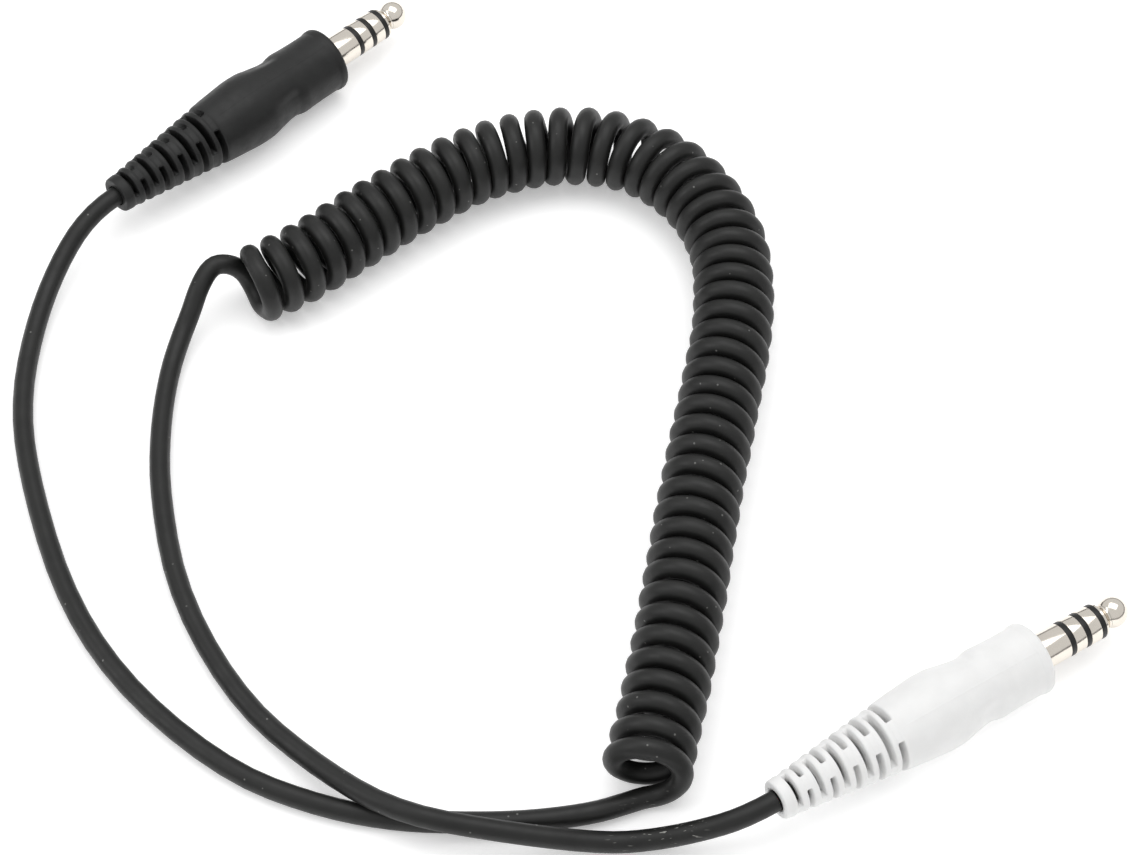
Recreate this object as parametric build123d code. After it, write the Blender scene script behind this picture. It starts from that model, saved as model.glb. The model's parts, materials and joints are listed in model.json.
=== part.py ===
"""Coiled aviation headset lead: a curly cord with the same four-contact plug on both ends.

Millimetres, +Z up, lying on the plane z = 0.  Each plug is built once along its own axis: x is the
distance from the tail end of its boot towards the tip, and the axis is y = z = 0.  The plug is then
laid down twice, once for the black boot and once for the white one.
"""
from build123d import *
import math
import os

# ---- contact finger (the size that fits the jack) ----
finger_radius = 3.57            # 7.14 mm, the 0.281 in finger of a four-contact headset plug
bare_sleeve = 7.2               # sleeve that shows in front of the boot
ring_width = 2.4                # each ring contact
washer_width = 1.1              # each insulating washer between two contacts
tip_length = 6.8                # flange, neck, collar and ball together
tip_ball_radius = 3.05
tip_neck_radius = 1.9
tip_flange_radius = 3.3
tip_flange_width = 0.5
tip_collar_radius = 2.4
tip_collar_width = 0.5
tip_collar_offset = 1.5         # rear face of the collar, from the flange's rear face
tip_neck_width = 0.3            # neck between the collar and the back of the ball

# ---- concentric conductors inside the finger ----
rod_radius = 0.8                # conductor of the tip
insulating_wall = 0.35
conductor_wall = 0.35
front_tube_inner = rod_radius + insulating_wall
front_tube_outer = front_tube_inner + conductor_wall
rear_tube_inner = front_tube_outer + insulating_wall
rear_tube_outer = rear_tube_inner + conductor_wall
sleeve_bore = rear_tube_outer + insulating_wall

# ---- boot ----
boot_length = 58.7
tail_radius = 3.8               # end collar of the strain relief
cone_end = 26.0                 # where the slotted cone meets the grip
cone_end_radius = 6.9
bulge_station = 35.5
bulge_radius = 7.8
waist_station = 45.5
waist_radius = 7.3
neck_station = 53.8
neck_radius = 6.95
bead_station = 57.5             # small rounded lip round the front
bead_radius = 7.15
face_radius = 6.5
grip_recess_radius = 26.0       # curve of the two finger recesses
grip_recess_station = 43.8
grip_recess_floor = 6.7         # distance of the recess floor from the axis
boot_fit = 0.05                 # gap between the boot and the turned sleeve

# ---- slots of the strain relief ----
slot_rows = 10
slot_first = 25.1               # row nearest the grip
slot_last = 3.0                 # row nearest the tail
slot_width_first = 1.35
slot_width_last = 1.0
side_slot_half_angle = 68.0     # rows that open to the two recess sides
face_slot_half_angle = 56.0     # rows turned by a quarter turn
slot_cut_margin = 1.0           # how far each slot's cut runs past the skin

# ---- turned sleeve inside the boot ----
shoulder_station = 48.0         # rear face of the sleeve
shoulder_radius = 5.5
shoulder_width = 3.5
hub_radius = 4.6
hub_width = 5.0
neck_in_boot_radius = 3.3       # the sleeve where it passes through the boot's front wall
chamber_radius = 5.0            # room round the solder terminals
chamber_start = 30.0

# ---- terminals behind the sleeve ----
wafer_width = 1.0
lug_thickness = 0.6
lug_disc_radius = 2.9
rear_wafer_radius = 4.2
tab_inner = 3.3                 # distance of a tab from the axis
tab_thickness = 0.5
tab_width = 1.8
arm_overlap = 0.6               # how far a lug's arm runs into its own disc
tab_end = 38.5
rivet_radius = 1.25
rivet_length = 0.5
strap_inner = 4.35              # strap from the sleeve to the cable clamp
strap_thickness = 0.5
strap_width = 2.4
clamp_start = 31.5
clamp_width = 4.0
clamp_wall = 0.45

# ---- cable ----
cord_diameter = 4.1
cord_radius = cord_diameter / 2
jacket_bore = 1.4
jacket_end = 36.2
bore_clearance = 0.2            # between the jacket and the boot
core_radius = 0.52
core_circle = 0.78              # centre of each core from the cable's axis
core_bend_radius = 1.5
core_bend_room = 1.0            # straight piece of core in front of the jacket, before it bends out
core_tip = 42.0
core_run_behind_bead = 0.6      # straight core between its bend and the solder
solder_radius = 0.95
solder_length = 2.2

# ---- layout on the table: the tail of each boot, and the direction of its tip ----
black_tail = (-98.4, 45.7)
black_yaw = 44.5
black_roll = 18.0
white_tail = (33.1, -98.8)
white_yaw = 32.9
white_roll = 21.5

# ---- curly cord ----
coil_diameter = 16.5
coil_radius = coil_diameter / 2
coil_route = [(-69.5, 19.8), (-60.5, 26.0), (-43.5, 41.2), (-22.5, 57.0), (-1.0, 61.5), (17.0, 54.5),
              (29.0, 36.0), (29.5, 14.0), (25.8, -6.0), (21.0, -31.0), (17.2, -56.0), (13.2, -78.0),
              (11.2, -86.3)]
coil_lead_inset = 0.1           # how far a lead's side stays inside the rim of the coil's end

# ---- leads: the points between each plug and the coil ----
floor_height = cord_radius
crossing_height = 6.9           # where the white plug's lead lies on the black plug's lead
exit_run = 6.5                  # straight piece out of each boot
black_lead_points = [(-109.0, 32.0, 5.2), (-113.3, 17.0, floor_height), (-114.2, -3.4, floor_height),
                     (-110.2, -22.8, floor_height), (-100.7, -50.2, floor_height),
                     (-87.3, -70.8, floor_height), (-67.0, -88.5, floor_height),
                     (-38.0, -100.0, floor_height), (-12.5, -99.4, floor_height),
                     (3.0, -95.6, floor_height)]
black_coil_run = 6.7
white_lead_points = [(-84.2, 10.5, 2.3), (-85.8, -3.0, floor_height), (-84.9, -25.0, floor_height),
                     (-79.2, -49.5, floor_height), (-66.0, -73.5, floor_height),
                     (-50.5, -88.5, 3.4), (-35.5, -100.2, crossing_height),
                     (-16.0, -104.2, crossing_height), (2.0, -103.8, floor_height),
                     (11.0, -103.6, 3.0), (19.5, -103.4, 6.0)]
white_coil_run = 8.0
white_coil_side = 5.4           # where the lead leaves the coil's end, off the coil's axis


# ---- stations along the finger ----
sleeve_end = boot_length + bare_sleeve
rear_ring_start = sleeve_end + washer_width
rear_ring_end = rear_ring_start + ring_width
front_ring_start = rear_ring_end + washer_width
front_ring_end = front_ring_start + ring_width
tip_start = front_ring_end + washer_width
tip_end = tip_start + tip_length

# ---- stations of the terminal stack, from the sleeve towards the cable ----
rear_lug_front = shoulder_station - wafer_width
rear_lug_back = rear_lug_front - lug_thickness
front_lug_front = rear_lug_back - wafer_width
front_lug_back = front_lug_front - lug_thickness
tip_lug_front = front_lug_back - wafer_width
tip_lug_back = tip_lug_front - lug_thickness
rod_start = tip_lug_back - rivet_length


def tube_x(start, end, outer, inner=0.0):
    """Round bar, or tube, along the plug's axis."""
    middle = Pos((start + end) / 2, 0, 0) * Rot(0, 90, 0)
    solid = middle * Cylinder(outer, end - start)
    if inner > 0:
        solid -= middle * Cylinder(inner, end - start)
    return solid


def block(x_range, y_range, z_range):
    """Rectangular block between the given limits."""
    (x0, x1), (y0, y1), (z0, z1) = x_range, y_range, z_range
    return Pos((x0 + x1) / 2, (y0 + y1) / 2, (z0 + z1) / 2) * Box(x1 - x0, y1 - y0, z1 - z0)


def sector_slot(station, width, angle, half_angle):
    """Slot through the boot's wall, from the cable's bore outwards, round part of the circumference."""
    inner = cord_radius + bore_clearance
    outer = bulge_radius + slot_cut_margin
    low = math.radians(angle - half_angle)
    mid = math.radians(angle)
    high = math.radians(angle + half_angle)

    def point(radius, turn):
        return (radius * math.cos(turn), radius * math.sin(turn))

    outline = [Line(point(inner, low), point(outer, low)),
               ThreePointArc(point(outer, low), point(outer, mid), point(outer, high)),
               Line(point(outer, high), point(inner, high)),
               ThreePointArc(point(inner, high), point(inner, mid), point(inner, low))]
    across = Plane(origin=(station - width / 2, 0, 0), x_dir=(0, 1, 0), z_dir=(1, 0, 0))
    return extrude(across * make_face(outline), width)


# ---- boot ----
def boot():
    skin = [Line((0, 0), (0, tail_radius)),
            Line((0, tail_radius), (cone_end, cone_end_radius)),
            Spline((cone_end, cone_end_radius), (bulge_station, bulge_radius),
                   (waist_station, waist_radius), (neck_station, neck_radius),
                   (bead_station, bead_radius),
                   tangents=[(cone_end, cone_end_radius - tail_radius), (1, 0)]),
            Line((bead_station, bead_radius), (boot_length, face_radius)),
            Line((boot_length, face_radius), (boot_length, 0)),
            Line((boot_length, 0), (0, 0))]
    body = revolve(make_face(skin), Axis.X)
    body -= tube_x(0, chamber_start, cord_radius + bore_clearance)
    body -= tube_x(chamber_start, shoulder_station, chamber_radius)
    shoulder_end = shoulder_station + shoulder_width
    body -= tube_x(shoulder_station, shoulder_end, shoulder_radius + boot_fit)
    body -= tube_x(shoulder_end, shoulder_end + hub_width, hub_radius + boot_fit)
    body -= tube_x(shoulder_end + hub_width, boot_length, neck_in_boot_radius + boot_fit)
    for side in (-1, 1):
        centre = side * (grip_recess_floor + grip_recess_radius)
        body -= Pos(grip_recess_station, centre, 0) * Cylinder(grip_recess_radius, 4 * bulge_radius)
    for row in range(slot_rows):
        share = row / (slot_rows - 1)
        station = slot_first + (slot_last - slot_first) * share
        width = slot_width_first + (slot_width_last - slot_width_first) * share
        half_angle = face_slot_half_angle if row % 2 else side_slot_half_angle
        for side in (0, 180):
            body -= sector_slot(station, width, side + 90 * (row % 2), half_angle)
    return body


# ---- metal contacts ----
def sleeve_contact():
    shoulder_end = shoulder_station + shoulder_width
    body = tube_x(shoulder_station, shoulder_end, shoulder_radius, sleeve_bore)
    body += tube_x(shoulder_end, shoulder_end + hub_width, hub_radius, sleeve_bore)
    body += tube_x(shoulder_end + hub_width, boot_length, neck_in_boot_radius, sleeve_bore)
    body += tube_x(boot_length, sleeve_end, finger_radius, sleeve_bore)
    return body


def ring_contact(start, inner, outer, tube_end):
    """Contact ring on the front end of its own conductor tube."""
    return tube_x(start, start + ring_width, finger_radius, inner) + tube_x(tube_end, start, outer, inner)


def tip_contact():
    neck_start = tip_start + tip_flange_width
    collar_start = tip_start + tip_collar_offset
    back_start = collar_start + tip_collar_width + tip_neck_width
    ball_centre = tip_end - tip_ball_radius
    skin = [Line((tip_start, 0), (tip_start, tip_flange_radius)),
            Line((tip_start, tip_flange_radius), (neck_start, tip_flange_radius)),
            Line((neck_start, tip_flange_radius), (collar_start, tip_neck_radius)),
            Line((collar_start, tip_neck_radius), (collar_start, tip_collar_radius)),
            Line((collar_start, tip_collar_radius), (collar_start + tip_collar_width, tip_collar_radius)),
            Line((collar_start + tip_collar_width, tip_collar_radius),
                 (collar_start + tip_collar_width, tip_neck_radius)),
            Line((collar_start + tip_collar_width, tip_neck_radius), (back_start, tip_neck_radius)),
            Line((back_start, tip_neck_radius), (ball_centre, tip_ball_radius)),
            CenterArc((ball_centre, 0), tip_ball_radius, 0, 90),
            Line((tip_end, 0), (tip_start, 0))]
    rod = tube_x(rod_start, tip_start, rod_radius)
    rivet = tube_x(rod_start, tip_lug_back, rivet_radius)
    return revolve(make_face(skin), Axis.X) + rod + rivet


# ---- insulators: a washer on the front end of each insulating tube ----
def insulator(start, inner, outer, tube_end):
    washer = tube_x(start, start + washer_width, finger_radius, inner)
    return washer + tube_x(tube_end, start, outer, inner)


def terminal_wafers():
    return [tube_x(rear_lug_front, shoulder_station, rear_wafer_radius, sleeve_bore),
            tube_x(front_lug_front, rear_lug_back, lug_disc_radius, rear_tube_outer),
            tube_x(tip_lug_front, front_lug_back, lug_disc_radius, front_tube_outer)]


# ---- solder terminals ----
def tab(front, angle):
    """Arm and solder tab of a lug, pointing back towards the cable."""
    outer = tab_inner + tab_thickness
    half = tab_width / 2
    arm = block((front - lug_thickness, front), (lug_disc_radius - arm_overlap, outer), (-half, half))
    tail = block((tab_end, front), (tab_inner, outer), (-half, half))
    return Rot(angle, 0, 0) * (arm + tail)


def lug(front, bore, angle):
    disc = tube_x(front - lug_thickness, front, lug_disc_radius)
    return disc + tab(front, angle) - tube_x(front - lug_thickness, front, bore)


def cable_clamp():
    """Strap from the sleeve's rear face to the band that is crimped on the cable."""
    outer = strap_inner + strap_thickness
    half = strap_width / 2
    band_end = clamp_start + clamp_width
    seat = tube_x(shoulder_station - lug_thickness, shoulder_station, outer, strap_inner)
    strap = block((band_end - strap_thickness, shoulder_station), (strap_inner, outer), (-half, half))
    foot = block((band_end - strap_thickness, band_end), (cord_radius, outer), (-half, half))
    band = tube_x(clamp_start, band_end, cord_radius + clamp_wall, cord_radius)
    strap &= tube_x(clamp_start, shoulder_station, outer, strap_inner)
    foot &= tube_x(clamp_start, shoulder_station, outer, cord_radius)
    return band + seat + Rot(270, 0, 0) * (strap + foot)


# ---- cable inside the boot ----
def core(angle, reach):
    """One insulated core: along the cable, then out to its terminal at the distance reach."""
    turn = math.radians(angle)
    radial = Vector(0, math.cos(turn), math.sin(turn))
    along = Vector(1, 0, 0)
    bend_start = jacket_end + core_bend_room
    bend_end = core_tip - solder_length - core_run_behind_bead
    points = [radial * core_circle, along * bend_start + radial * core_circle,
              along * bend_end + radial * reach, along * core_tip + radial * reach]
    path = FilletPolyline(*points, radius=core_bend_radius)
    return sweep(Plane(origin=path @ 0, z_dir=path % 0) * Circle(core_radius), path=path)


def solder(angle, reach, metal, wire):
    """Bead of solder round the end of a core, up against its terminal."""
    turn = math.radians(angle)
    centre = Pos(0, reach * math.cos(turn), reach * math.sin(turn))
    bead = centre * tube_x(core_tip - solder_length, core_tip, solder_radius)
    return bead - metal - wire


def plug():
    """Every piece of one plug, by name, along the plug's own axis."""
    tab_reach = tab_inner - core_radius
    strap_reach = strap_inner - core_radius
    pieces = {
        "boot": boot(),
        "sleeve_contact": sleeve_contact(),
        "rear_ring_contact": ring_contact(rear_ring_start, rear_tube_inner, rear_tube_outer,
                                          rear_lug_back),
        "front_ring_contact": ring_contact(front_ring_start, front_tube_inner, front_tube_outer,
                                           front_lug_back),
        "tip_contact": tip_contact(),
        "rear_insulator": insulator(sleeve_end, rear_tube_outer, sleeve_bore, rear_lug_front),
        "middle_insulator": insulator(rear_ring_end, front_tube_outer, rear_tube_inner, front_lug_front),
        "front_insulator": insulator(front_ring_end, rod_radius, front_tube_inner, tip_lug_front),
        "rear_ring_lug": lug(rear_lug_front, rear_tube_outer, 0),
        "front_ring_lug": lug(front_lug_front, front_tube_outer, 90),
        "tip_lug": lug(tip_lug_front, rod_radius, 180),
        "cable_clamp": cable_clamp(),
        "cable_jacket": tube_x(0, jacket_end, cord_radius, jacket_bore),
    }
    wafers = terminal_wafers()
    pieces["terminal_wafers"] = Compound(children=wafers)
    terminals = [("rear_ring", 0, "rear_ring_lug", tab_reach), ("front_ring", 90, "front_ring_lug", tab_reach),
                 ("tip", 180, "tip_lug", tab_reach), ("sleeve", 270, "cable_clamp", strap_reach)]
    beads = []
    for name, angle, metal, reach in terminals:
        wire = core(angle, reach)
        pieces[name + "_core"] = wire
        beads.append(solder(angle, reach, pieces[metal], wire))
    pieces["solder_joints"] = Compound(children=beads)
    return pieces


# ---- where a plug lies ----
# It rests on its bulge and on the bead round its front, so the tail is a little higher than the tip.
rest_tilt = math.degrees(math.asin((bulge_radius - bead_radius) / (bead_station - bulge_station)))
tail_height = bulge_radius / math.cos(math.radians(rest_tilt)) + bulge_station * math.sin(
    math.radians(rest_tilt))


def plug_location(tail, yaw, roll):
    return Pos(tail[0], tail[1], tail_height) * Rot(0, 0, yaw) * Rot(0, rest_tilt, 0) * Rot(roll, 0, 0)


def axis_direction(yaw):
    """Unit vector along a laid plug, from its tail to its tip."""
    level = math.cos(math.radians(rest_tilt))
    return Vector(level * math.cos(math.radians(yaw)), level * math.sin(math.radians(yaw)),
                  -math.sin(math.radians(rest_tilt)))


# ---- cords ----
def cord_tube(name, points, radius):
    """Straight runs joined by tangent arcs, each as large as its two runs allow."""
    points = [Vector(*p) for p in points]
    radii = []
    for before, here, after in zip(points, points[1:], points[2:]):
        turn = math.radians((here - before).get_angle(after - here))
        radii.append(0.45 * min((here - before).length, (after - here).length) / math.tan(turn / 2))
    path = FilletPolyline(*points, radius=radii)
    solid = sweep(Plane(origin=path @ 0, z_dir=path % 0) * Circle(radius), path=path)
    expected = math.pi * radius ** 2 * path.length
    print(name, "length", round(path.length, 1), "volume / expected", round(solid.volume / expected, 4))
    print("  radii", [round(r, 1) for r in radii])
    return solid


coil_points = [(x, y, coil_radius) for x, y in coil_route]
white_end, white_next = Vector(*coil_points[0]), Vector(*coil_points[1])
black_end, black_next = Vector(*coil_points[-1]), Vector(*coil_points[-2])
white_outward = (white_end - white_next).normalized()
black_outward = (black_end - black_next).normalized()
lead_circle = coil_radius - cord_radius - coil_lead_inset

black_exit = Vector(black_tail[0], black_tail[1], tail_height)
white_exit = Vector(white_tail[0], white_tail[1], tail_height)

# The black plug's lead starts under the coil's axis, the white plug's lead to the far side of it.
black_start = black_end - Vector(0, 0, lead_circle)
sideways = Vector(white_outward.Y, -white_outward.X, 0)
white_start = white_end + sideways * white_coil_side - Vector(
    0, 0, math.sqrt(lead_circle ** 2 - white_coil_side ** 2))

black_route = [black_exit, black_exit - axis_direction(black_yaw) * exit_run, *black_lead_points,
               black_start + black_outward * black_coil_run, black_start]
white_route = [white_start, white_start + white_outward * white_coil_run, *white_lead_points,
               white_exit - axis_direction(white_yaw) * exit_run, white_exit]


def main():
    os.makedirs("parts", exist_ok=True)
    pieces = plug()
    for colour, tail, yaw, roll in (("black", black_tail, black_yaw, black_roll),
                                    ("white", white_tail, white_yaw, white_roll)):
        for name, shape in pieces.items():
            placed = plug_location(tail, yaw, roll) * shape
            export_step(placed, f"parts/{colour}_{name}.step")
    cords = {"black_lead": (black_route, cord_radius), "coil": (coil_points, coil_radius),
             "white_lead": (white_route, cord_radius)}
    for name, (route, radius) in cords.items():
        export_step(cord_tube(name, route, radius), f"parts/{name}.step")


main()
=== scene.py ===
"""Looks of the coiled headset lead: one curly cord and two four-contact plugs.

Lengths along a plug and along the cord's route are in millimetres, the CAD model's own unit, and
MM turns them into the metres that every Blender object has.
"""
import json
import math

import bmesh
import bpy
import numpy as np
from mathutils import Matrix, Vector


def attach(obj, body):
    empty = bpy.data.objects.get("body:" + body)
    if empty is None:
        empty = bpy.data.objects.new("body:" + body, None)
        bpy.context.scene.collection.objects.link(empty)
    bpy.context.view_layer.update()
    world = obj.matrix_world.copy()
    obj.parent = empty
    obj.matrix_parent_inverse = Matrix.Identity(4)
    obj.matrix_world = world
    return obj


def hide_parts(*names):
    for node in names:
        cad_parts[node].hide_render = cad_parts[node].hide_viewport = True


MM = 0.001

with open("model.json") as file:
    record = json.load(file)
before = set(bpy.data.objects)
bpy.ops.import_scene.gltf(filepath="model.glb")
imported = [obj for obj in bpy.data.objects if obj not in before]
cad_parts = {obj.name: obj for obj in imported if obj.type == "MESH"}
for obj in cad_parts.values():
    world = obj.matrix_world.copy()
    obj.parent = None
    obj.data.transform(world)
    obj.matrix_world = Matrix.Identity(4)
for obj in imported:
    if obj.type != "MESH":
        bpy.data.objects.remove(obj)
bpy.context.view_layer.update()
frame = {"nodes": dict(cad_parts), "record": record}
record = frame["record"]

# ---- camera ----
camera_aim = Vector((-4.0, -8.0, 0.0)) * MM
camera_distance = 622.4 * MM
camera_elevation = math.radians(53.01)
camera_lens = 98.3

# ---- plugs: stations in mm from the tail of the boot ----
boot_length = 58.7
sleeve_end = 65.4
washer_width = 1.15
ring_width = 2.5
tip_length = 6.95
finger_radius = 3.57
finger_middle = 66.35           # station of the finger's mount
plug_roll = {"black": 18.0, "white": 21.5}

# ---- cord ----
cord_diameter = 4.1
cord_radius = cord_diameter / 2
coil_diameter = 16.5
turn_radius = (coil_diameter - cord_diameter) / 2
floor_height = cord_radius
crossing_height = 6.9
exit_run = 6.5
black_lead_points = [(-109.0, 32.0, 5.2), (-113.3, 17.0, floor_height), (-114.2, -3.4, floor_height),
                     (-110.2, -22.8, floor_height), (-100.7, -50.2, floor_height),
                     (-87.3, -70.8, floor_height), (-67.0, -88.8, floor_height),
                     (-50.0, -96.0, floor_height), (-36.0, -99.0, floor_height),
                     (-24.0, -99.5, floor_height), (-12.0, -99.3, floor_height),
                     (0.0, -97.6, floor_height), (6.3, -95.4, floor_height)]
coil_route = [(-68.6, 21.9), (-60.5, 26.0), (-43.5, 41.2), (-22.5, 57.0), (-1.0, 61.5), (17.0, 54.5),
              (29.0, 36.0), (29.5, 14.0), (25.8, -6.0), (21.0, -31.0), (17.2, -56.0), (13.2, -78.0),
              (10.8, -88.0), (9.6, -94.0)]
white_lead_points = [(-69.0, 25.8, 2.9), (-71.0, 27.3, 6.8), (-74.0, 26.8, 9.6), (-77.2, 25.8, 10.0),
                     (-79.6, 21.4, 8.2), (-81.0, 17.6, 5.6), (-83.2, 12.2, 2.9),
                     (-84.9, 4.0, floor_height), (-85.6, -9.0, floor_height),
                     (-84.6, -25.0, floor_height),
                     (-79.2, -49.5, floor_height), (-66.0, -73.5, floor_height),
                     (-50.5, -88.5, 3.4), (-35.5, -100.2, crossing_height),
                     (-16.0, -104.2, crossing_height), (2.0, -103.8, floor_height),
                     (11.0, -103.6, 3.0), (19.5, -103.4, 6.0)]
steps_per_span = 4              # straight steps to each control point of the finished cord
points_per_turn = 16
black_end_phase = 180.0         # degrees round the coil: 0 is the top, 90 the near side of the left end
white_end_phase = 180.0
turns = 51                      # whole turns between the two phases
black_end_slant = 1.0           # how far the turns at each end lean along the coil, in mm
white_end_slant = 1.3
white_lean_phase = 20.0         # the point of the turn, before the top, that leans out the most
open_pitch = 4.95               # near the black plug's lead
close_pitch = 4.7               # near the white plug's lead
touching_share = 1.01           # turns that touch stand this many cord diameters apart
black_end_growth = 0.05         # share by which the first turn is wider than the rest
black_end_fade = 3.0            # turns over which the lean at the black end dies away
white_end_fade = 1.5            # turns over which the lean at the white end drops to lasting_lean
lasting_lean = 0.35
lasting_turns = 12              # turns that keep it
lasting_fade = 4                # turns over which it dies away after them


def add_camera():
    data = bpy.data.cameras.new("camera")
    data.lens = camera_lens
    data.sensor_width = 36
    data.clip_start = 0.05
    data.clip_end = 5
    camera = bpy.data.objects.new("camera", data)
    back = Vector((0, -math.cos(camera_elevation), math.sin(camera_elevation)))
    camera.location = camera_aim + back * camera_distance
    camera.rotation_euler = (math.pi / 2 - camera_elevation, 0, 0)
    bpy.context.scene.collection.objects.link(camera)
    bpy.context.scene.camera = camera


def plug_matrix(colour):
    """From a plug's own axes, in mm, to the frame, in metres: x along the axis, z towards its top."""
    mount = next(m for m in record["mounts"] if m["name"] == colour + "_plug_finger")
    along = Vector(mount["axis"]).normalized()
    level = Vector((0, 0, 1)).cross(along).normalized()
    up = along.cross(level)
    roll = math.radians(plug_roll[colour])
    side = level * math.cos(roll) + up * math.sin(roll)
    top = up * math.cos(roll) - level * math.sin(roll)
    origin = Vector(mount["pos_m"]) - along * finger_middle * MM
    turn = Matrix((along, side, top)).transposed().to_4x4()
    return Matrix.Translation(origin) @ turn @ Matrix.Scale(MM, 4)


# ---- cord ----
def nurbs(name, points):
    """Curve object of one open NURBS spline of order 3 through control points in mm."""
    curve = bpy.data.curves.new(name, "CURVE")
    curve.dimensions = "3D"
    spline = curve.splines.new("NURBS")
    spline.points.add(len(points) - 1)
    for point, place in zip(spline.points, points):
        point.co = (place[0] * MM, place[1] * MM, place[2] * MM, 1)
        # the bevel is multiplied by this radius, which the curve's own box is widened by
        point.radius = cord_radius * MM
    spline.order_u = 3
    spline.use_endpoint_u = True
    return bpy.data.objects.new(name, curve)


def sampled(points, steps):
    """Points in mm along the smooth line that the control points give."""
    line = nurbs("route", points)
    line.data.splines[0].resolution_u = steps
    mesh = bpy.data.meshes.new_from_object(line)
    places = np.array([v.co for v in mesh.vertices]) / MM
    bpy.data.meshes.remove(mesh)
    bpy.data.objects.remove(line)
    return places


def curvature(path, along):
    """Curvature at each point of a path, from its turning over a short stretch."""
    heading = np.unwrap(np.arctan2(np.gradient(path[:, 1], along), np.gradient(path[:, 0], along)))
    bend = np.abs(np.gradient(heading, along))
    stretch = 6.0
    weight = np.exp(-((along[:, None] - along[None, :]) / stretch) ** 2)
    return (weight @ bend) / weight.sum(1)


def turn_lean(turned, left, angle):
    """How far a point of a turn leans along the coil, in mm, from the turns before and after it."""
    lean = -black_end_slant * math.exp(-(turned / black_end_fade) ** 2) * math.sin(angle)
    if left < lasting_turns:
        share = lasting_lean + (1 - lasting_lean) * math.exp(-(left / white_end_fade) ** 2)
    else:
        share = lasting_lean * math.exp(-((left - lasting_turns) / lasting_fade) ** 2)
    return lean + white_end_slant * share * math.cos(angle + math.radians(white_lean_phase))


def helix():
    """Control points of the curly part, from the black plug's end of the coil to the white plug's."""
    path = sampled([(x, y, coil_diameter / 2) for x, y in reversed(coil_route)], 24)
    along = np.r_[0, np.cumsum(np.linalg.norm(np.diff(path, axis=0), axis=1))]
    share = along / along[-1]
    rest_pitch = open_pitch + (close_pitch - open_pitch) * share
    # round a bend the turns touch on its inner side, and so they stand further apart on the axis
    bend_pitch = cord_diameter * touching_share / (1 - turn_radius * curvature(path, along))
    pitch = np.maximum(rest_pitch, bend_pitch)
    phase = np.r_[0, np.cumsum(np.diff(along) / ((pitch[1:] + pitch[:-1]) / 2))]
    wanted = turns + (white_end_phase - black_end_phase) / 360
    phase *= wanted / phase[-1]
    count = round(wanted * points_per_turn)
    control_radius = turn_radius / math.cos(math.pi / points_per_turn)
    points = []
    for step in range(count + 1):
        turned = wanted * step / count
        place = [np.interp(turned, phase, path[:, axis]) for axis in range(3)]
        ahead = [np.interp(turned + 0.2, phase, path[:, axis]) for axis in range(3)]
        behind = [np.interp(turned - 0.2, phase, path[:, axis]) for axis in range(3)]
        travel = (Vector(ahead) - Vector(behind)).normalized()
        right = travel.cross(Vector((0, 0, 1))).normalized()
        angle = math.radians(black_end_phase) + 2 * math.pi * turned
        # turns of a real cord differ a little in size and in lean
        wave = 0.12 * math.sin(0.9 * turned) + 0.08 * math.sin(2.3 * turned + 1)
        growth = 0.006 * math.sin(1.7 * turned) + black_end_growth * math.exp(-turned * turned)
        radius = control_radius * (1 + growth)
        offset = Vector((0, 0, 1)) * math.cos(angle) * radius - right * math.sin(angle) * radius
        slant = turn_lean(turned, wanted - turned, angle)
        points.append(Vector(place) + travel * (wave + slant) + offset)
    return points


def add_cord(matrices):
    exits = {}
    for colour, matrix in matrices.items():
        tail = matrix @ Vector((0, 0, 0)) / MM
        straight = matrix @ Vector((-exit_run, 0, 0)) / MM
        exits[colour] = (tail, straight)
    route = [exits["black"][0], exits["black"][1], *black_lead_points, *helix(), *white_lead_points,
             exits["white"][1], exits["white"][0]]
    cord = nurbs("cord", route)
    cord.data.splines[0].resolution_u = steps_per_span
    cord.data.bevel_depth = 1.0
    cord.data.bevel_resolution = 6
    bpy.context.scene.collection.objects.link(cord)
    line = sampled(route, steps_per_span)
    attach(cord, "root")
    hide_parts("black_lead", "coil", "white_lead")
    return cord


# ---- boots ----
bore_radius = 2.25
slot_rows = 10
slot_first = 24.3
slot_last = 2.8
slot_width_first = 1.35
slot_width_last = 1.0
side_slot_half_angle = math.radians(71.5)
face_slot_half_angle = math.radians(60.5)
groove_depth = 0.22             # shallow groove right round the boot at each row of slots
groove_width = 0.85
slot_lip = 0.25
slot_wall = 0.06
boot_turns = 384                # quads round the boot
boot_merge = 0.004              # points nearer than this are one
tail_round = 0.35
tail_hole_lip = 2.9
slots_end = 27.0                # no slot or groove reaches past this station
rim_start = 58.05               # where the front lip starts to round over
lip_round = 0.65
face_radius = 6.5
front_stations = [boot_length, 58.62, 58.6, 58.45]
front_radii = [5.9, 5.2, 4.2, 3.6]
seam_start = 27.0               # the mould's parting line
seam_end = 56.5
seam_height = 0.05
seam_width = 0.12
outline_stations = [0.0, 13.0, 26.0, 30.5, 35.5, 40.5, 45.5, 50.0, 53.8, 56.4, 56.9, 57.15, rim_start]
outline_radii = [3.8, 5.38, 6.95, 7.42, 7.8, 7.66, 7.3, 7.03, 6.95, 6.97, 7.02, 7.2, 7.2]
recess_stations = [30.0, 37.5, 40.5, 43.6, 45.0, 46.6, 47.8, boot_length]
recess_depths = [0.0, 0.02, 0.42, 0.7, 0.64, 0.18, 0.0, 0.0]
recess_half_angle = math.radians(40)
recess_fade = math.radians(24)
inner_stations = [0.0, 30.0, 30.2, 48.0, 48.1, 51.5, 51.6, 56.5, 56.6, boot_length]
inner_radii = [bore_radius, bore_radius, 5.0, 5.0, 5.55, 5.55, 4.65, 4.65, 3.6, 3.6]


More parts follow.
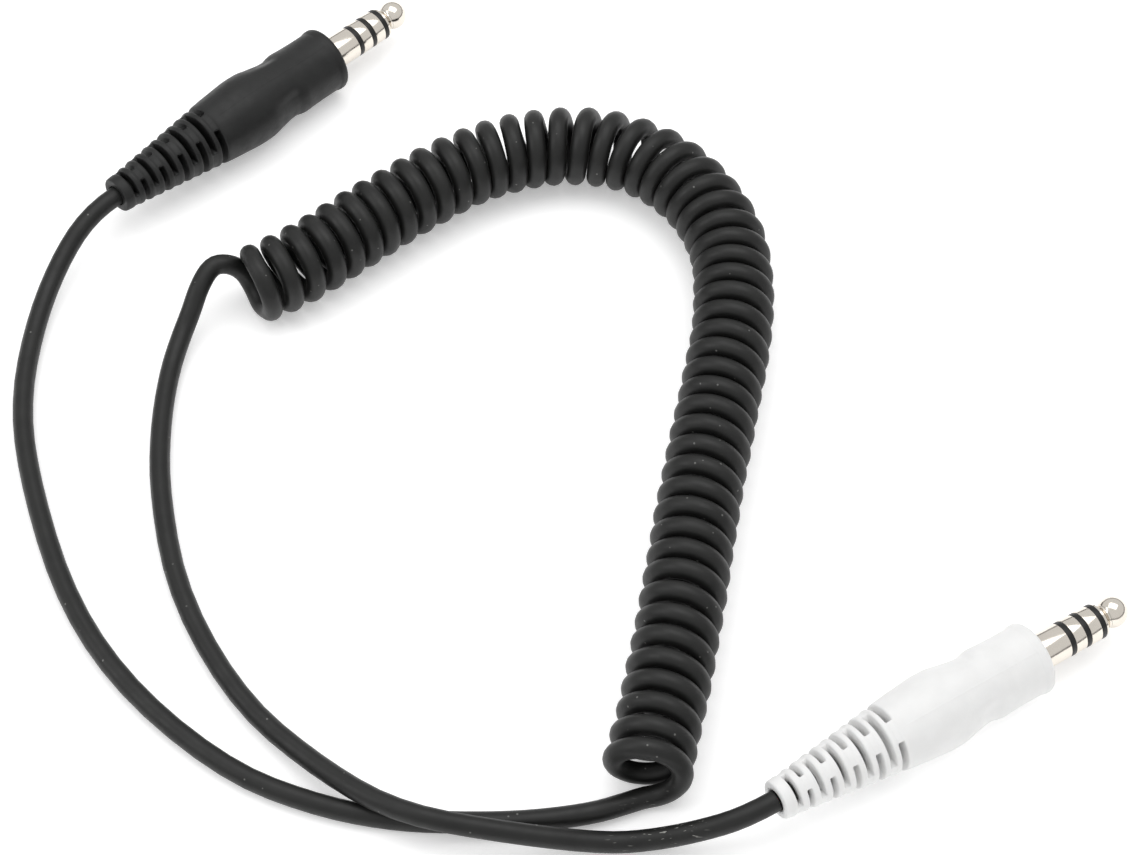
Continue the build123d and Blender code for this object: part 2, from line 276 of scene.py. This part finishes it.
def smooth_curve(x, stations, values):
    """Cubic curve through the given stations, with no overshoot between them."""
    stations, values = np.array(stations), np.array(values)
    rise = np.diff(values) / np.diff(stations)
    slope = np.zeros(len(values))
    for i in range(1, len(values) - 1):
        if rise[i - 1] * rise[i] > 0:
            slope[i] = 2 * rise[i - 1] * rise[i] / (rise[i - 1] + rise[i])
    slope[0], slope[-1] = rise[0], rise[-1]
    i = np.clip(np.searchsorted(stations, x) - 1, 0, len(values) - 2)
    width = stations[i + 1] - stations[i]
    t = (x - stations[i]) / width
    return ((1 + 2 * t) * (1 - t) ** 2 * values[i] + t * (1 - t) ** 2 * width * slope[i]
            + t * t * (3 - 2 * t) * values[i + 1] + t * t * (t - 1) * width * slope[i + 1])


def slot_list():
    """Station, width, middle angle and half angle of each slot, two to a row."""
    slots = []
    for row in range(slot_rows):
        share = row / (slot_rows - 1)
        station = slot_first + (slot_last - slot_first) * share
        width = slot_width_first + (slot_width_last - slot_width_first) * share
        half_angle = face_slot_half_angle if row % 2 else side_slot_half_angle
        for side in (0, math.pi):
            slots.append((station, width, side + math.pi / 2 * (row % 2), half_angle))
    return slots


def boot_stations():
    """Stations along the boot, close together at the slots' edges."""
    edge = [slot_lip, 0.18, 0.1, 0.04, 0.0, -0.03, -slot_wall, -0.16]
    stations = set(np.round(np.arange(tail_round, rim_start, 0.3), 3))
    for station, width, _, _ in slot_list():
        near = width / 2 + 0.4
        stations = {x for x in stations if abs(x - station) > near}
        stations |= {round(station + side * (width / 2 + e), 3) for e in edge for side in (-1, 1)}
    stations.add(rim_start)
    return np.array(sorted(stations))


def slot_depth(x, angle, radius):
    """Share of the wall cut away at each point: 0 on the skin, 1 right through."""
    depth = np.zeros(np.broadcast(x, angle).shape)
    for station, width, middle, half_angle in slot_list():
        away = np.abs((angle - middle + math.pi) % (2 * math.pi) - math.pi)
        across = np.abs(x - station)
        round_end = width / 2
        beyond = np.maximum((away - half_angle) * radius + round_end, 0)
        edge = np.where(beyond > 0, np.hypot(across, beyond), across) - round_end
        lip = np.clip(edge / slot_lip, 0, 1)
        rounding = slot_lip * (1 - np.sqrt(1 - (1 - lip) ** 2)) / (radius - bore_radius)
        wall = np.clip(-edge / slot_wall, 0, 1)
        depth = np.maximum(depth, np.where(edge > 0, rounding, rounding + (1 - rounding) * wall))
    return depth


def boot_mesh(name):
    """Boot as two skins, outside and inside, that meet at both ends and in the walls of each slot."""
    angles = np.arange(boot_turns) * 2 * math.pi / boot_turns
    body_x = boot_stations()
    bend = np.linspace(0, math.pi / 2, 7)
    tail_x = np.r_[0, 0, 0, tail_round * (1 - np.cos(bend[1:-1]))]
    tail_face = outline_radii[0] - tail_round
    tail_r = np.r_[bore_radius, tail_hole_lip, tail_face, tail_face + tail_round * np.sin(bend[1:-1])]
    lip_x = rim_start + lip_round * np.sin(bend[1:])
    lip_r = face_radius + lip_round * np.cos(bend[1:])
    x = np.r_[tail_x, body_x, lip_x, front_stations]
    r = np.r_[tail_r, smooth_curve(body_x, outline_stations, outline_radii), lip_r, front_radii]
    grid_x, grid_a = np.meshgrid(x, angles, indexing="ij")
    grid_r = np.repeat(r[:, None], boot_turns, 1)
    # two hollows for the fingers, one on each side
    within = np.clip(x, recess_stations[0], boot_length)
    sunk = smooth_curve(within, recess_stations, recess_depths)[:, None]
    from_side = np.arccos(np.clip(np.abs(np.cos(grid_a)), 0, 1))
    inside = np.clip((recess_half_angle + recess_fade - from_side) / recess_fade, 0, 1)
    grid_r = grid_r - sunk * inside * inside * (3 - 2 * inside)
    for station, _, _, _ in slot_list()[::2]:
        grid_r = grid_r - groove_depth * np.exp(-(((x - station) / groove_width) ** 4))[:, None]
    # the parting line is a fine ridge on top and below
    off_seam = np.arccos(np.clip(np.abs(np.sin(grid_a)), 0, 1)) * grid_r
    on_body = ((grid_x > seam_start) & (grid_x < seam_end)).astype(float)
    grid_r = grid_r + seam_height * np.exp(-(off_seam / seam_width) ** 2) * on_body
    cut = slot_depth(grid_x, grid_a, np.maximum(grid_r, bore_radius + 0.1))
    cut[x < tail_round] = 0
    cut[x > slots_end] = 0
    outer_r = grid_r + (bore_radius - grid_r) * cut
    inner_r = np.repeat(np.interp(x, inner_stations, inner_radii)[:, None], boot_turns, 1)
    inner_r[cut > 0.999] = bore_radius
    inner_r[:1] = bore_radius
    inner_r = np.minimum(inner_r, outer_r)
    through = cut > 0.999
    rows, columns = grid_x.shape
    vertices = []
    for radius in (outer_r, inner_r):
        skin = np.stack([grid_x, radius * np.cos(grid_a), radius * np.sin(grid_a)], -1)
        vertices.append(skin.reshape(-1, 3))
    faces = []
    for layer in (0, 1):
        start = layer * rows * columns
        for i in range(rows - 1):
            for j in range(columns):
                k = (j + 1) % columns
                if through[i, j] and through[i + 1, j] and through[i, k] and through[i + 1, k]:
                    continue
                a, b = start + i * columns + j, start + i * columns + k
                c, d = b + columns, a + columns
                faces.append((a, d, c, b) if layer == 0 else (a, b, c, d))
    mesh = bpy.data.meshes.new(name)
    mesh.from_pydata(np.concatenate(vertices), [], faces)
    return mesh


def tidy_mesh(mesh, merge):
    """Joins points that lie on each other, and turns every face outwards."""
    work = bmesh.new()
    work.from_mesh(mesh)
    bmesh.ops.remove_doubles(work, verts=work.verts, dist=merge)
    bmesh.ops.recalc_face_normals(work, faces=work.faces)
    work.to_mesh(mesh)
    work.free()
    mesh.shade_smooth()


def add_boot(colour, matrix, material):
    """One boot, from its mesh in the plug's own mm."""
    name = colour + "_boot_skin"
    mesh = boot_mesh(name)
    tidy_mesh(mesh, boot_merge)
    mesh.transform(matrix)
    boot = bpy.data.objects.new(name, mesh)
    bpy.context.scene.collection.objects.link(boot)
    mesh.materials.append(material)
    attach(boot, "root")
    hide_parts(colour + "_boot")


# ---- fingers ----
lathe_turns = 160               # quads round a finger piece
lathe_merge = 0.0005
inner_radius = 2.6
metal_chamfer = 0.12
plastic_chamfer = 0.1
washer_sink = 0.04              # how far the washers lie below the metal
tip_profile = [(0.0, 0.9), (0.0, 3.2), (0.08, 3.3), (0.5, 3.3), (0.6, 3.2), (1.35, 2.0), (1.5, 1.95),
               (1.56, 2.33), (1.64, 2.4), (1.96, 2.4), (2.04, 2.33), (2.12, 1.95), (2.35, 1.92)]
ball_radius = 3.05
ball_first_angle = math.radians(128)
ball_steps = 26


def chamfered(start, end, outer, inner, chamfer):
    """Outline of a ring with small round edges, from its bore round to its bore."""
    points = [(start, inner), (start, outer - chamfer)]
    for step in range(1, 4):
        turn = math.pi / 2 * step / 4
        points.append((start + chamfer * (1 - math.cos(turn)), outer - chamfer * (1 - math.sin(turn))))
    points += [(start + chamfer, outer), (end - chamfer, outer)]
    for step in range(3, 0, -1):
        turn = math.pi / 2 * step / 4
        points.append((end - chamfer * (1 - math.cos(turn)), outer - chamfer * (1 - math.sin(turn))))
    return points + [(end, outer - chamfer), (end, inner)]


def lathe(name, outline, matrix, material, replaced, closed=True):
    """Turned piece from an outline of stations and radii."""
    count = lathe_turns
    vertices, faces = [], []
    for x, r in outline:
        for j in range(count):
            turn = 2 * math.pi * j / count
            vertices.append((x, r * math.cos(turn), r * math.sin(turn)))
    last = len(outline) if closed else len(outline) - 1
    for i in range(last):
        n = (i + 1) % len(outline)
        for j in range(count):
            k = (j + 1) % count
            faces.append((i * count + j, n * count + j, n * count + k, i * count + k))
    mesh = bpy.data.meshes.new(name)
    mesh.from_pydata(vertices, [], faces)
    tidy_mesh(mesh, lathe_merge)
    mesh.set_sharp_from_angle(angle=math.radians(32))
    mesh.transform(matrix)
    piece = bpy.data.objects.new(name, mesh)
    bpy.context.scene.collection.objects.link(piece)
    mesh.materials.append(material)
    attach(piece, "root")
    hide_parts(replaced)


def tip_outline(start):
    """Flange, waist, collar and ball of the tip."""
    points = [(start + along, radius) for along, radius in tip_profile]
    centre = start + tip_length - ball_radius
    for step in range(ball_steps + 1):
        turn = ball_first_angle * (1 - step / ball_steps)
        points.append((centre + ball_radius * math.cos(turn), max(ball_radius * math.sin(turn), 0.0)))
    return points


def add_finger(colour, matrix, metal, plastic):
    """Sleeve, washers, rings and tip, in the order that they stand in from the boot."""
    part = colour + "_"
    sleeve = chamfered(boot_length - 0.6, sleeve_end, finger_radius, inner_radius, metal_chamfer)
    lathe(part + "sleeve", sleeve, matrix, metal, part + "sleeve_contact")
    station = sleeve_end
    names = [("rear_insulator", "rear_ring_contact"), ("middle_insulator", "front_ring_contact"),
             ("front_insulator", None)]
    for washer, ring in names:
        band = chamfered(station, station + washer_width, finger_radius - washer_sink,
                         inner_radius - 0.2, plastic_chamfer)
        lathe(part + washer + "_band", band, matrix, plastic, part + washer)
        station += washer_width
        if ring:
            band = chamfered(station, station + ring_width, finger_radius, inner_radius - 0.2,
                             metal_chamfer)
            lathe(part + ring + "_band", band, matrix, metal, part + ring)
            station += ring_width
    lathe(part + "tip", tip_outline(station), matrix, metal, part + "tip_contact",
          closed=False)


# ---- materials ----
scuff_centre = (0.012, -0.1037, 0.005)


def new_material(name, **inputs):
    """Material with its node tree and its shader, whose inputs can be named in the call."""
    material = bpy.data.materials.new(name)
    material.use_nodes = True
    shader = material.node_tree.nodes["Principled BSDF"]
    for key, value in inputs.items():
        shader.inputs[key.replace("_", " ")].default_value = value
    return material, material.node_tree, shader


def add_node(tree, kind, inputs=None, **settings):
    """Node with its settings, and each input either linked to a socket or given a value."""
    node = tree.nodes.new(kind)
    for key, value in settings.items():
        setattr(node, key, value)
    for key, value in (inputs or {}).items():
        if isinstance(value, bpy.types.NodeSocket):
            tree.links.new(value, node.inputs[key])
        else:
            node.inputs[key].default_value = value
    return node


def noise(tree, scale, detail=3.0, stretch=(1, 1, 1)):
    """Noise in the object's own metres: scale is in grains to the metre."""
    place = add_node(tree, "ShaderNodeTexCoord").outputs["Object"]
    grid = add_node(tree, "ShaderNodeMapping", {"Vector": place, "Scale": stretch})
    texture = add_node(tree, "ShaderNodeTexNoise", {"Vector": grid.outputs[0], "Scale": scale,
                                                    "Detail": detail, "Roughness": 0.5})
    return texture.outputs["Fac"]


def ramp(tree, value, low, high, out_low, out_high):
    node = add_node(tree, "ShaderNodeMapRange", {"Value": value, "From Min": low, "From Max": high,
                                                 "To Min": out_low, "To Max": out_high})
    return node.outputs[0]


def mix_colour(tree, factor, first, second):
    node = add_node(tree, "ShaderNodeMix", data_type="RGBA")
    tree.links.new(factor, node.inputs[0])
    for socket, value in ((node.inputs[6], first), (node.inputs[7], second)):
        if isinstance(value, bpy.types.NodeSocket):
            tree.links.new(value, socket)
        else:
            socket.default_value = value
    return node.outputs[2]


def bump(tree, shader, height, distance, strength=1.0):
    node = add_node(tree, "ShaderNodeBump", {"Height": height, "Distance": distance, "Strength": strength})
    tree.links.new(node.outputs[0], shader.inputs["Normal"])


def specks(tree, scale, size):
    """Mask of scattered dust grains: 1 on a grain, 0 elsewhere."""
    place = add_node(tree, "ShaderNodeTexCoord").outputs["Object"]
    cells = add_node(tree, "ShaderNodeTexVoronoi", {"Vector": place, "Scale": scale, "Randomness": 1.0})
    near = ramp(tree, cells.outputs["Distance"], size * 0.6, size, 1.0, 0.0)
    chance = add_node(tree, "ShaderNodeSeparateColor", {"Color": cells.outputs["Color"]}).outputs[0]
    some = ramp(tree, chance, 0.84, 0.86, 0.0, 1.0)
    return add_node(tree, "ShaderNodeMath", {0: near, 1: some}, operation="MULTIPLY").outputs[0]


def scuffs(tree):
    """Mask of the fine scratches along the cord in front of the white boot."""
    place = add_node(tree, "ShaderNodeTexCoord").outputs["Object"]
    apart = add_node(tree, "ShaderNodeVectorMath", {0: place, 1: scuff_centre}, operation="DISTANCE")
    near = ramp(tree, apart.outputs["Value"], 0.006, 0.010, 1.0, 0.0)
    streaks = noise(tree, 2400, 2, (0.12, 1, 1))
    lines = ramp(tree, streaks, 0.64, 0.70, 0.0, 0.8)
    return add_node(tree, "ShaderNodeMath", {0: near, 1: lines}, operation="MULTIPLY").outputs[0]


def cord_material():
    """Satin black rubber with dust on it and scratches in one place."""
    material, tree, shader = new_material("cord_rubber", Specular_IOR_Level=0.36)
    mottle = noise(tree, 180, 4)
    colour = mix_colour(tree, ramp(tree, mottle, 0.35, 0.65, 0, 1), (0.0068, 0.0070, 0.0066, 1),
                        (0.0105, 0.0107, 0.0101, 1))
    dust = specks(tree, 600, 0.15)
    colour = mix_colour(tree, dust, colour, (0.12, 0.12, 0.115, 1))
    colour = mix_colour(tree, scuffs(tree), colour, (0.30, 0.30, 0.28, 1))
    tree.links.new(colour, shader.inputs["Base Color"])
    tree.links.new(ramp(tree, noise(tree, 420, 5), 0.3, 0.7, 0.40, 0.52), shader.inputs["Roughness"])
    bump(tree, shader, noise(tree, 2600, 3), 0.00002)
    return material


def boot_material(colour):
    """Matt moulded rubber for the black or the white boot."""
    if colour == "black":
        dark, light = (0.0085, 0.0088, 0.0087, 1), (0.0125, 0.0128, 0.0126, 1)
        material, tree, shader = new_material("boot_black", Specular_IOR_Level=0.34)
        rough = (0.42, 0.55)
    else:
        dark, light = (0.76, 0.76, 0.755, 1), (0.79, 0.79, 0.785, 1)
        material, tree, shader = new_material("boot_white", Specular_IOR_Level=0.35)
        shader.inputs["Subsurface Weight"].default_value = 0.15
        shader.inputs["Subsurface Radius"].default_value = (1.0, 0.95, 0.9)
        shader.inputs["Subsurface Scale"].default_value = 0.0006
        rough = (0.48, 0.58)
    mottle = noise(tree, 240, 4)
    tree.links.new(mix_colour(tree, ramp(tree, mottle, 0.35, 0.65, 0, 1), dark, light),
                   shader.inputs["Base Color"])
    tree.links.new(ramp(tree, noise(tree, 500, 4), 0.3, 0.7, *rough), shader.inputs["Roughness"])
    bump(tree, shader, noise(tree, 2200, 3), 0.000025)
    return material


def metal_material():
    """Warm polished nickel."""
    material, tree, shader = new_material("nickel", Metallic=1.0)
    colour = mix_colour(tree, noise(tree, 300, 3), (0.72, 0.67, 0.60, 1), (0.80, 0.75, 0.68, 1))
    tree.links.new(colour, shader.inputs["Base Color"])
    tree.links.new(ramp(tree, noise(tree, 900, 4), 0.3, 0.7, 0.10, 0.17), shader.inputs["Roughness"])
    bump(tree, shader, noise(tree, 1500, 2), 0.000004)
    return material


def plastic_material(name, base, rough):
    """Moulded plastic, laminate or solder for the small pieces, with a fine uneven sheen."""
    material, tree, shader = new_material(name, Specular_IOR_Level=0.4)
    light = tuple(min(1, c * 1.25 + 0.004) for c in base[:3]) + (1,)
    colour = mix_colour(tree, noise(tree, 700, 3), (*base[:3], 1), light)
    tree.links.new(colour, shader.inputs["Base Color"])
    sheen = ramp(tree, noise(tree, 900, 3), 0.3, 0.7, rough, rough + 0.12)
    tree.links.new(sheen, shader.inputs["Roughness"])
    bump(tree, shader, noise(tree, 3000, 2), 0.000006)
    return material


def paint_nodes(made):
    """Gives every CAD node that stays in view the procedural material of its slot."""
    slots = {s["node"]: s["material_slot"] for s in record["subparts"]}
    colours = {m["slot"]: m["base_color"] for m in record["materials"]}
    for node, piece in frame["nodes"].items():
        slot = slots[node]
        if slot not in made:
            made[slot] = plastic_material(slot, colours[slot], 0.35)
            if slot in ("tinned_brass", "solder"):
                shader = made[slot].node_tree.nodes["Principled BSDF"]
                shader.inputs["Metallic"].default_value = 1.0
        for place in piece.material_slots:
            place.material = made[slot]


# ---- stage ----
floor_glow = 0.3
zenith = 0.78                   # brightness of the studio's walls and ceiling
horizon = 0.05


def add_floor():
    mesh = bpy.data.meshes.new("floor")
    half = 3.0
    level = -0.0002
    corners = [(-half, -half, level), (half, -half, level), (half, half, level), (-half, half, level)]
    mesh.from_pydata(corners, [], [(0, 1, 2, 3)])
    floor = bpy.data.objects.new("floor", mesh)
    bpy.context.scene.collection.objects.link(floor)
    material, _, shader = new_material("floor", Roughness=0.9, Specular_IOR_Level=0.1)
    shader.inputs["Base Color"].default_value = (0.93, 0.93, 0.93, 1)
    shader.inputs["Emission Color"].default_value = (1, 1, 1, 1)
    shader.inputs["Emission Strength"].default_value = floor_glow
    mesh.materials.append(material)


def add_light(name, place, size, watts):
    data = bpy.data.lights.new(name, "AREA")
    data.shape = "RECTANGLE"
    data.size, data.size_y = size
    data.energy = watts
    light = bpy.data.objects.new(name, data)
    light.location = place
    light.rotation_euler = (-Vector(place)).to_track_quat("-Z", "Y").to_euler()
    bpy.context.scene.collection.objects.link(light)


def add_lights():
    world = bpy.data.worlds.new("studio")
    bpy.context.scene.world = world
    world.use_nodes = True
    tree = world.node_tree
    background = tree.nodes["Background"]
    background.inputs["Color"].default_value = (1, 1, 1, 1)
    place = add_node(tree, "ShaderNodeTexCoord").outputs["Generated"]
    height = add_node(tree, "ShaderNodeSeparateXYZ", {"Vector": place}).outputs["Z"]
    tree.links.new(ramp(tree, height, 0.05, 0.20, horizon, zenith), background.inputs["Strength"])
    add_light("overhead", (0.1, 0.25, 1.3), (1.4, 1.0), 7.5)
    add_light("left", (-1.1, -0.2, 0.9), (0.6, 0.9), 3.5)
    bpy.context.scene.view_settings.view_transform = "Standard"


add_camera()
matrices = {colour: plug_matrix(colour) for colour in ("black", "white")}
cord = add_cord(matrices)
cord.data.materials.append(cord_material())
metal = metal_material()
washer_black = plastic_material("insulator_black", (0.004, 0.004, 0.004), 0.35)
for colour, matrix in matrices.items():
    add_boot(colour, matrix, boot_material(colour))
    add_finger(colour, matrix, metal, washer_black)
paint_nodes({"nickel": metal, "insulator_black": washer_black, "cord_rubber": cord.data.materials[0]})
add_floor()
add_lights()
